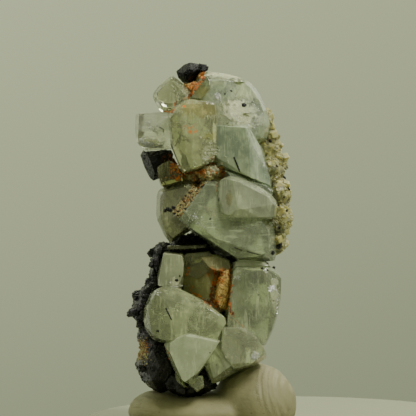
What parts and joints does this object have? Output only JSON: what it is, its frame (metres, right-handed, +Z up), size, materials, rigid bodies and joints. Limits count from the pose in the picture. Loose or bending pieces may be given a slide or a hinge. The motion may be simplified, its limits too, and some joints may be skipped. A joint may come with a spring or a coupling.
{
  "type": "aquamarine with fluorite and schorl on mounting putty",
  "caption": "Upright cluster of pale aquamarine crystals with black schorl, a pale yellow fluorite crust and rusty feldspar, standing in a lump of putty.",
  "frame": {"origin": "on the putty's flat underside, below the middle of the specimen", "axes": "+Z up along the specimen's height; -Y towards the side that the picture shows; +X to its right"},
  "size_m": [0.017, 0.0141, 0.0358],
  "materials": {
    "aquamarine_clear": "clear to milky pale grey-green crystal",
    "schorl_black": "black, glossy on fresh faces and rough elsewhere",
    "fluorite_pale": "pale yellow granular crust",
    "feldspar_stained": "cream, stained orange by iron",
    "putty_beige": "dull beige putty with fingerprint ridges"
  },
  "bodies": {
    "root": {"aquamarine_upper": "aquamarine_clear", "aquamarine_middle": "aquamarine_clear", "aquamarine_lower": "aquamarine_clear", "schorl_crown": "schorl_black", "schorl_knob": "schorl_black", "schorl_mass": "schorl_black", "fluorite_crust": "fluorite_pale", "feldspar_wedge": "feldspar_stained", "feldspar_collar": "feldspar_stained", "feldspar_seam": "feldspar_stained", "mounting_putty": "putty_beige"}
  },
  "joints": []
}
